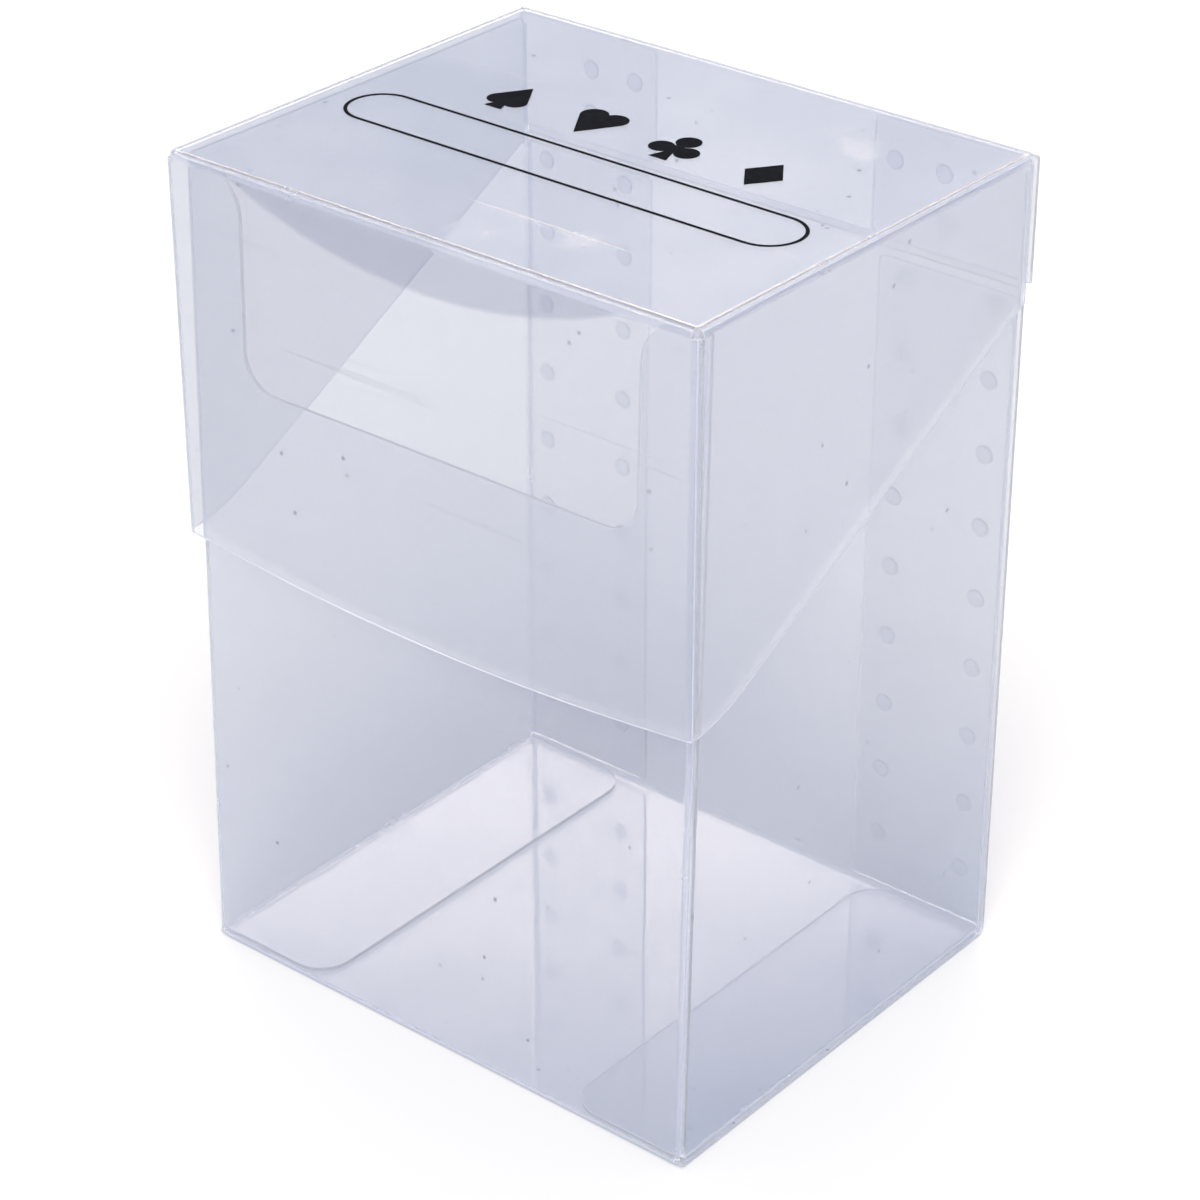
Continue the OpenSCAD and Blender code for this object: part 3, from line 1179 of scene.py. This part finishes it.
# The camera: its turn round the box, its elevation and the dip of its view in radians, then its
# step aside and its reach from the box's middle in heights of the box
CAMERA_TURN = 0.6902
CAMERA_ELEVATION = 0.5023
CAMERA_DIP = 0.5119
CAMERA_ASIDE = -0.0017
CAMERA_REACH = 3.9428
CAMERA_LENS = 105.19


def studio_world():
    """Pale studio: its walls show in the gloss, with a lit backdrop low behind the box."""
    world = bpy.data.worlds.new("studio")
    world.use_nodes = True
    tree = world.node_tree
    link = tree.links.new
    seen = tree.nodes["Background"]
    cast = add_node(
        tree, "ShaderNodeBackground", {"Color": (*FILL_LIGHT, 1.0), "Strength": FILL_STRENGTH}
    )
    coordinates = tree.nodes.new("ShaderNodeTexCoord")
    heading = tree.nodes.new("ShaderNodeSeparateXYZ")
    link(coordinates.outputs["Generated"], heading.inputs[0])
    rise = band(tree, heading.outputs["Z"], *GLOW_RISES)
    fall = band(tree, heading.outputs["Z"], *GLOW_FALLS)
    lit = maths(tree, "SUBTRACT", rise, fall, clamp=True)
    left = maths(tree, "MULTIPLY", heading.outputs["X"], GLOW_HEADING[0])
    back = maths(tree, "MULTIPLY", heading.outputs["Y"], GLOW_HEADING[1])
    towards = maths(tree, "ADD", left, back)
    lit = maths(tree, "MULTIPLY", lit, band(tree, towards, *GLOW_WIDTH))
    link(mixed(tree, lit, STUDIO_WALL, BACKDROP_GLOW), seen.inputs["Color"])
    horizon = add_node(tree, "ShaderNodeBackground", {"Color": (1.0, 1.0, 1.0, 1.0)})
    path = tree.nodes.new("ShaderNodeLightPath").outputs
    room = either(tree, path["Is Diffuse Ray"], seen.outputs[0], cast.outputs[0])
    sky = either(tree, path["Is Camera Ray"], room, horizon.outputs[0])
    link(sky, tree.nodes["World Output"].inputs["Surface"])
    return world


def aim(turn, rise):
    """A direction towards the front, turned round the box and raised."""
    level = math.cos(rise)
    return Vector((math.sin(turn) * level, -math.cos(turn) * level, math.sin(rise)))


def make_camera():
    """The camera, above the box's front right corner."""
    size = lid_top[1].z - bottom[0].z
    right = Vector((math.cos(CAMERA_TURN), math.sin(CAMERA_TURN), 0.0))
    away = aim(CAMERA_TURN, CAMERA_ELEVATION) * CAMERA_REACH + right * CAMERA_ASIDE
    lens = bpy.data.cameras.new("camera")
    lens.lens = CAMERA_LENS
    lens.clip_start = 0.01
    camera = bpy.data.objects.new("camera", lens)
    camera.location = Vector((0, 0, 0.5 * size)) + away * size
    look = -aim(CAMERA_TURN, CAMERA_DIP)
    camera.rotation_euler = look.to_track_quat("-Z", "Y").to_euler()
    return camera


class DECKBOX_OT_stage(bpy.types.Operator):
    """Pale floor, soft studio light and the camera"""

    bl_idname = "deckbox.stage"
    bl_label = "Studio"

    def execute(self, context):
        scene = context.scene
        bm = bmesh.new()
        bmesh.ops.create_grid(bm, x_segments=1, y_segments=1, size=FLOOR_HALF)
        mesh = bpy.data.meshes.new("floor")
        bm.to_mesh(mesh)
        bm.free()
        floor = bpy.data.objects.new("floor", mesh)
        floor.location.z = -FLOOR_DROP
        scene.collection.objects.link(floor)
        paper = bpy.data.materials.new("floor_paper")
        paper.use_nodes = True
        shader = paper.node_tree.nodes["Principled BSDF"]
        shader.inputs["Base Color"].default_value = (*settings().colours.floor, 1.0)
        shader.inputs["Roughness"].default_value = 0.9
        shader.inputs["Specular IOR Level"].default_value = 0.1
        mesh.materials.append(paper)

        scene.world = studio_world()

        key = bpy.data.lights.new("key", "SUN")
        key.angle = math.radians(KEY_SOFTNESS)
        key.energy = KEY_STRENGTH
        key.color = KEY_COLOUR
        holder = bpy.data.objects.new("key", key)
        holder.rotation_euler = Vector(KEY_TOWARDS).to_track_quat("-Z", "Y").to_euler()
        scene.collection.objects.link(holder)

        scene.camera = make_camera()
        scene.collection.objects.link(scene.camera)

        scene.view_settings.view_transform = "Standard"
        scene.cycles.max_bounces = 40
        scene.cycles.transmission_bounces = 40
        scene.cycles.transparent_max_bounces = 48
        scene.cycles.glossy_bounces = 10
        scene.cycles.diffuse_bounces = 4
        scene.cycles.caustics_reflective = False
        return {"FINISHED"}


OPERATORS = (
    DECKBOX_OT_front_panel,
    DECKBOX_OT_back_panel,
    DECKBOX_OT_side_panels,
    DECKBOX_OT_bottom_panel,
    DECKBOX_OT_dust_flaps,
    DECKBOX_OT_weld_flaps,
    DECKBOX_OT_spot_welds,
    DECKBOX_OT_hinge,
    DECKBOX_OT_lid_top,
    DECKBOX_OT_lid_front_flap,
    DECKBOX_OT_lid_sides,
    DECKBOX_OT_lid_back_strip,
    DECKBOX_OT_lid_tabs,
    DECKBOX_OT_tab_welds,
    DECKBOX_OT_print,
    DECKBOX_OT_stage,
)


class DeckBoxSettings(bpy.types.PropertyGroup):
    """All of the deck box's settings."""

    sheet: bpy.props.PointerProperty(type=SheetSizes, name="Sheet")
    outline: bpy.props.PointerProperty(type=OutlineSizes, name="Outlines")
    welds: bpy.props.PointerProperty(type=WeldSizes, name="Welds")
    colours: bpy.props.PointerProperty(type=SheetColours, name="Colours")


class DECKBOX_PT_parts(bpy.types.Panel):
    """Lists the deck box's parts"""

    bl_idname = "DECKBOX_PT_parts"
    bl_label = "Deck Box"
    bl_space_type = "VIEW_3D"
    bl_region_type = "UI"
    bl_category = "Deck Box"

    def draw(self, context):
        for operator in OPERATORS:
            self.layout.operator(operator.bl_idname)


CLASSES = (
    SheetSizes,
    OutlineSizes,
    WeldSizes,
    SheetColours,
    DeckBoxSettings,
    *OPERATORS,
    DECKBOX_PT_parts,
)


def register():
    for cls in CLASSES:
        bpy.utils.register_class(cls)
    bpy.types.Scene.deck_box = bpy.props.PointerProperty(type=DeckBoxSettings)


def unregister():
    del bpy.types.Scene.deck_box
    for cls in reversed(CLASSES):
        bpy.utils.unregister_class(cls)


def main():
    register()
    for operator in OPERATORS:
        family, name = operator.bl_idname.split(".")
        getattr(getattr(bpy.ops, family), name)()


if __name__ == "__main__":
    main()
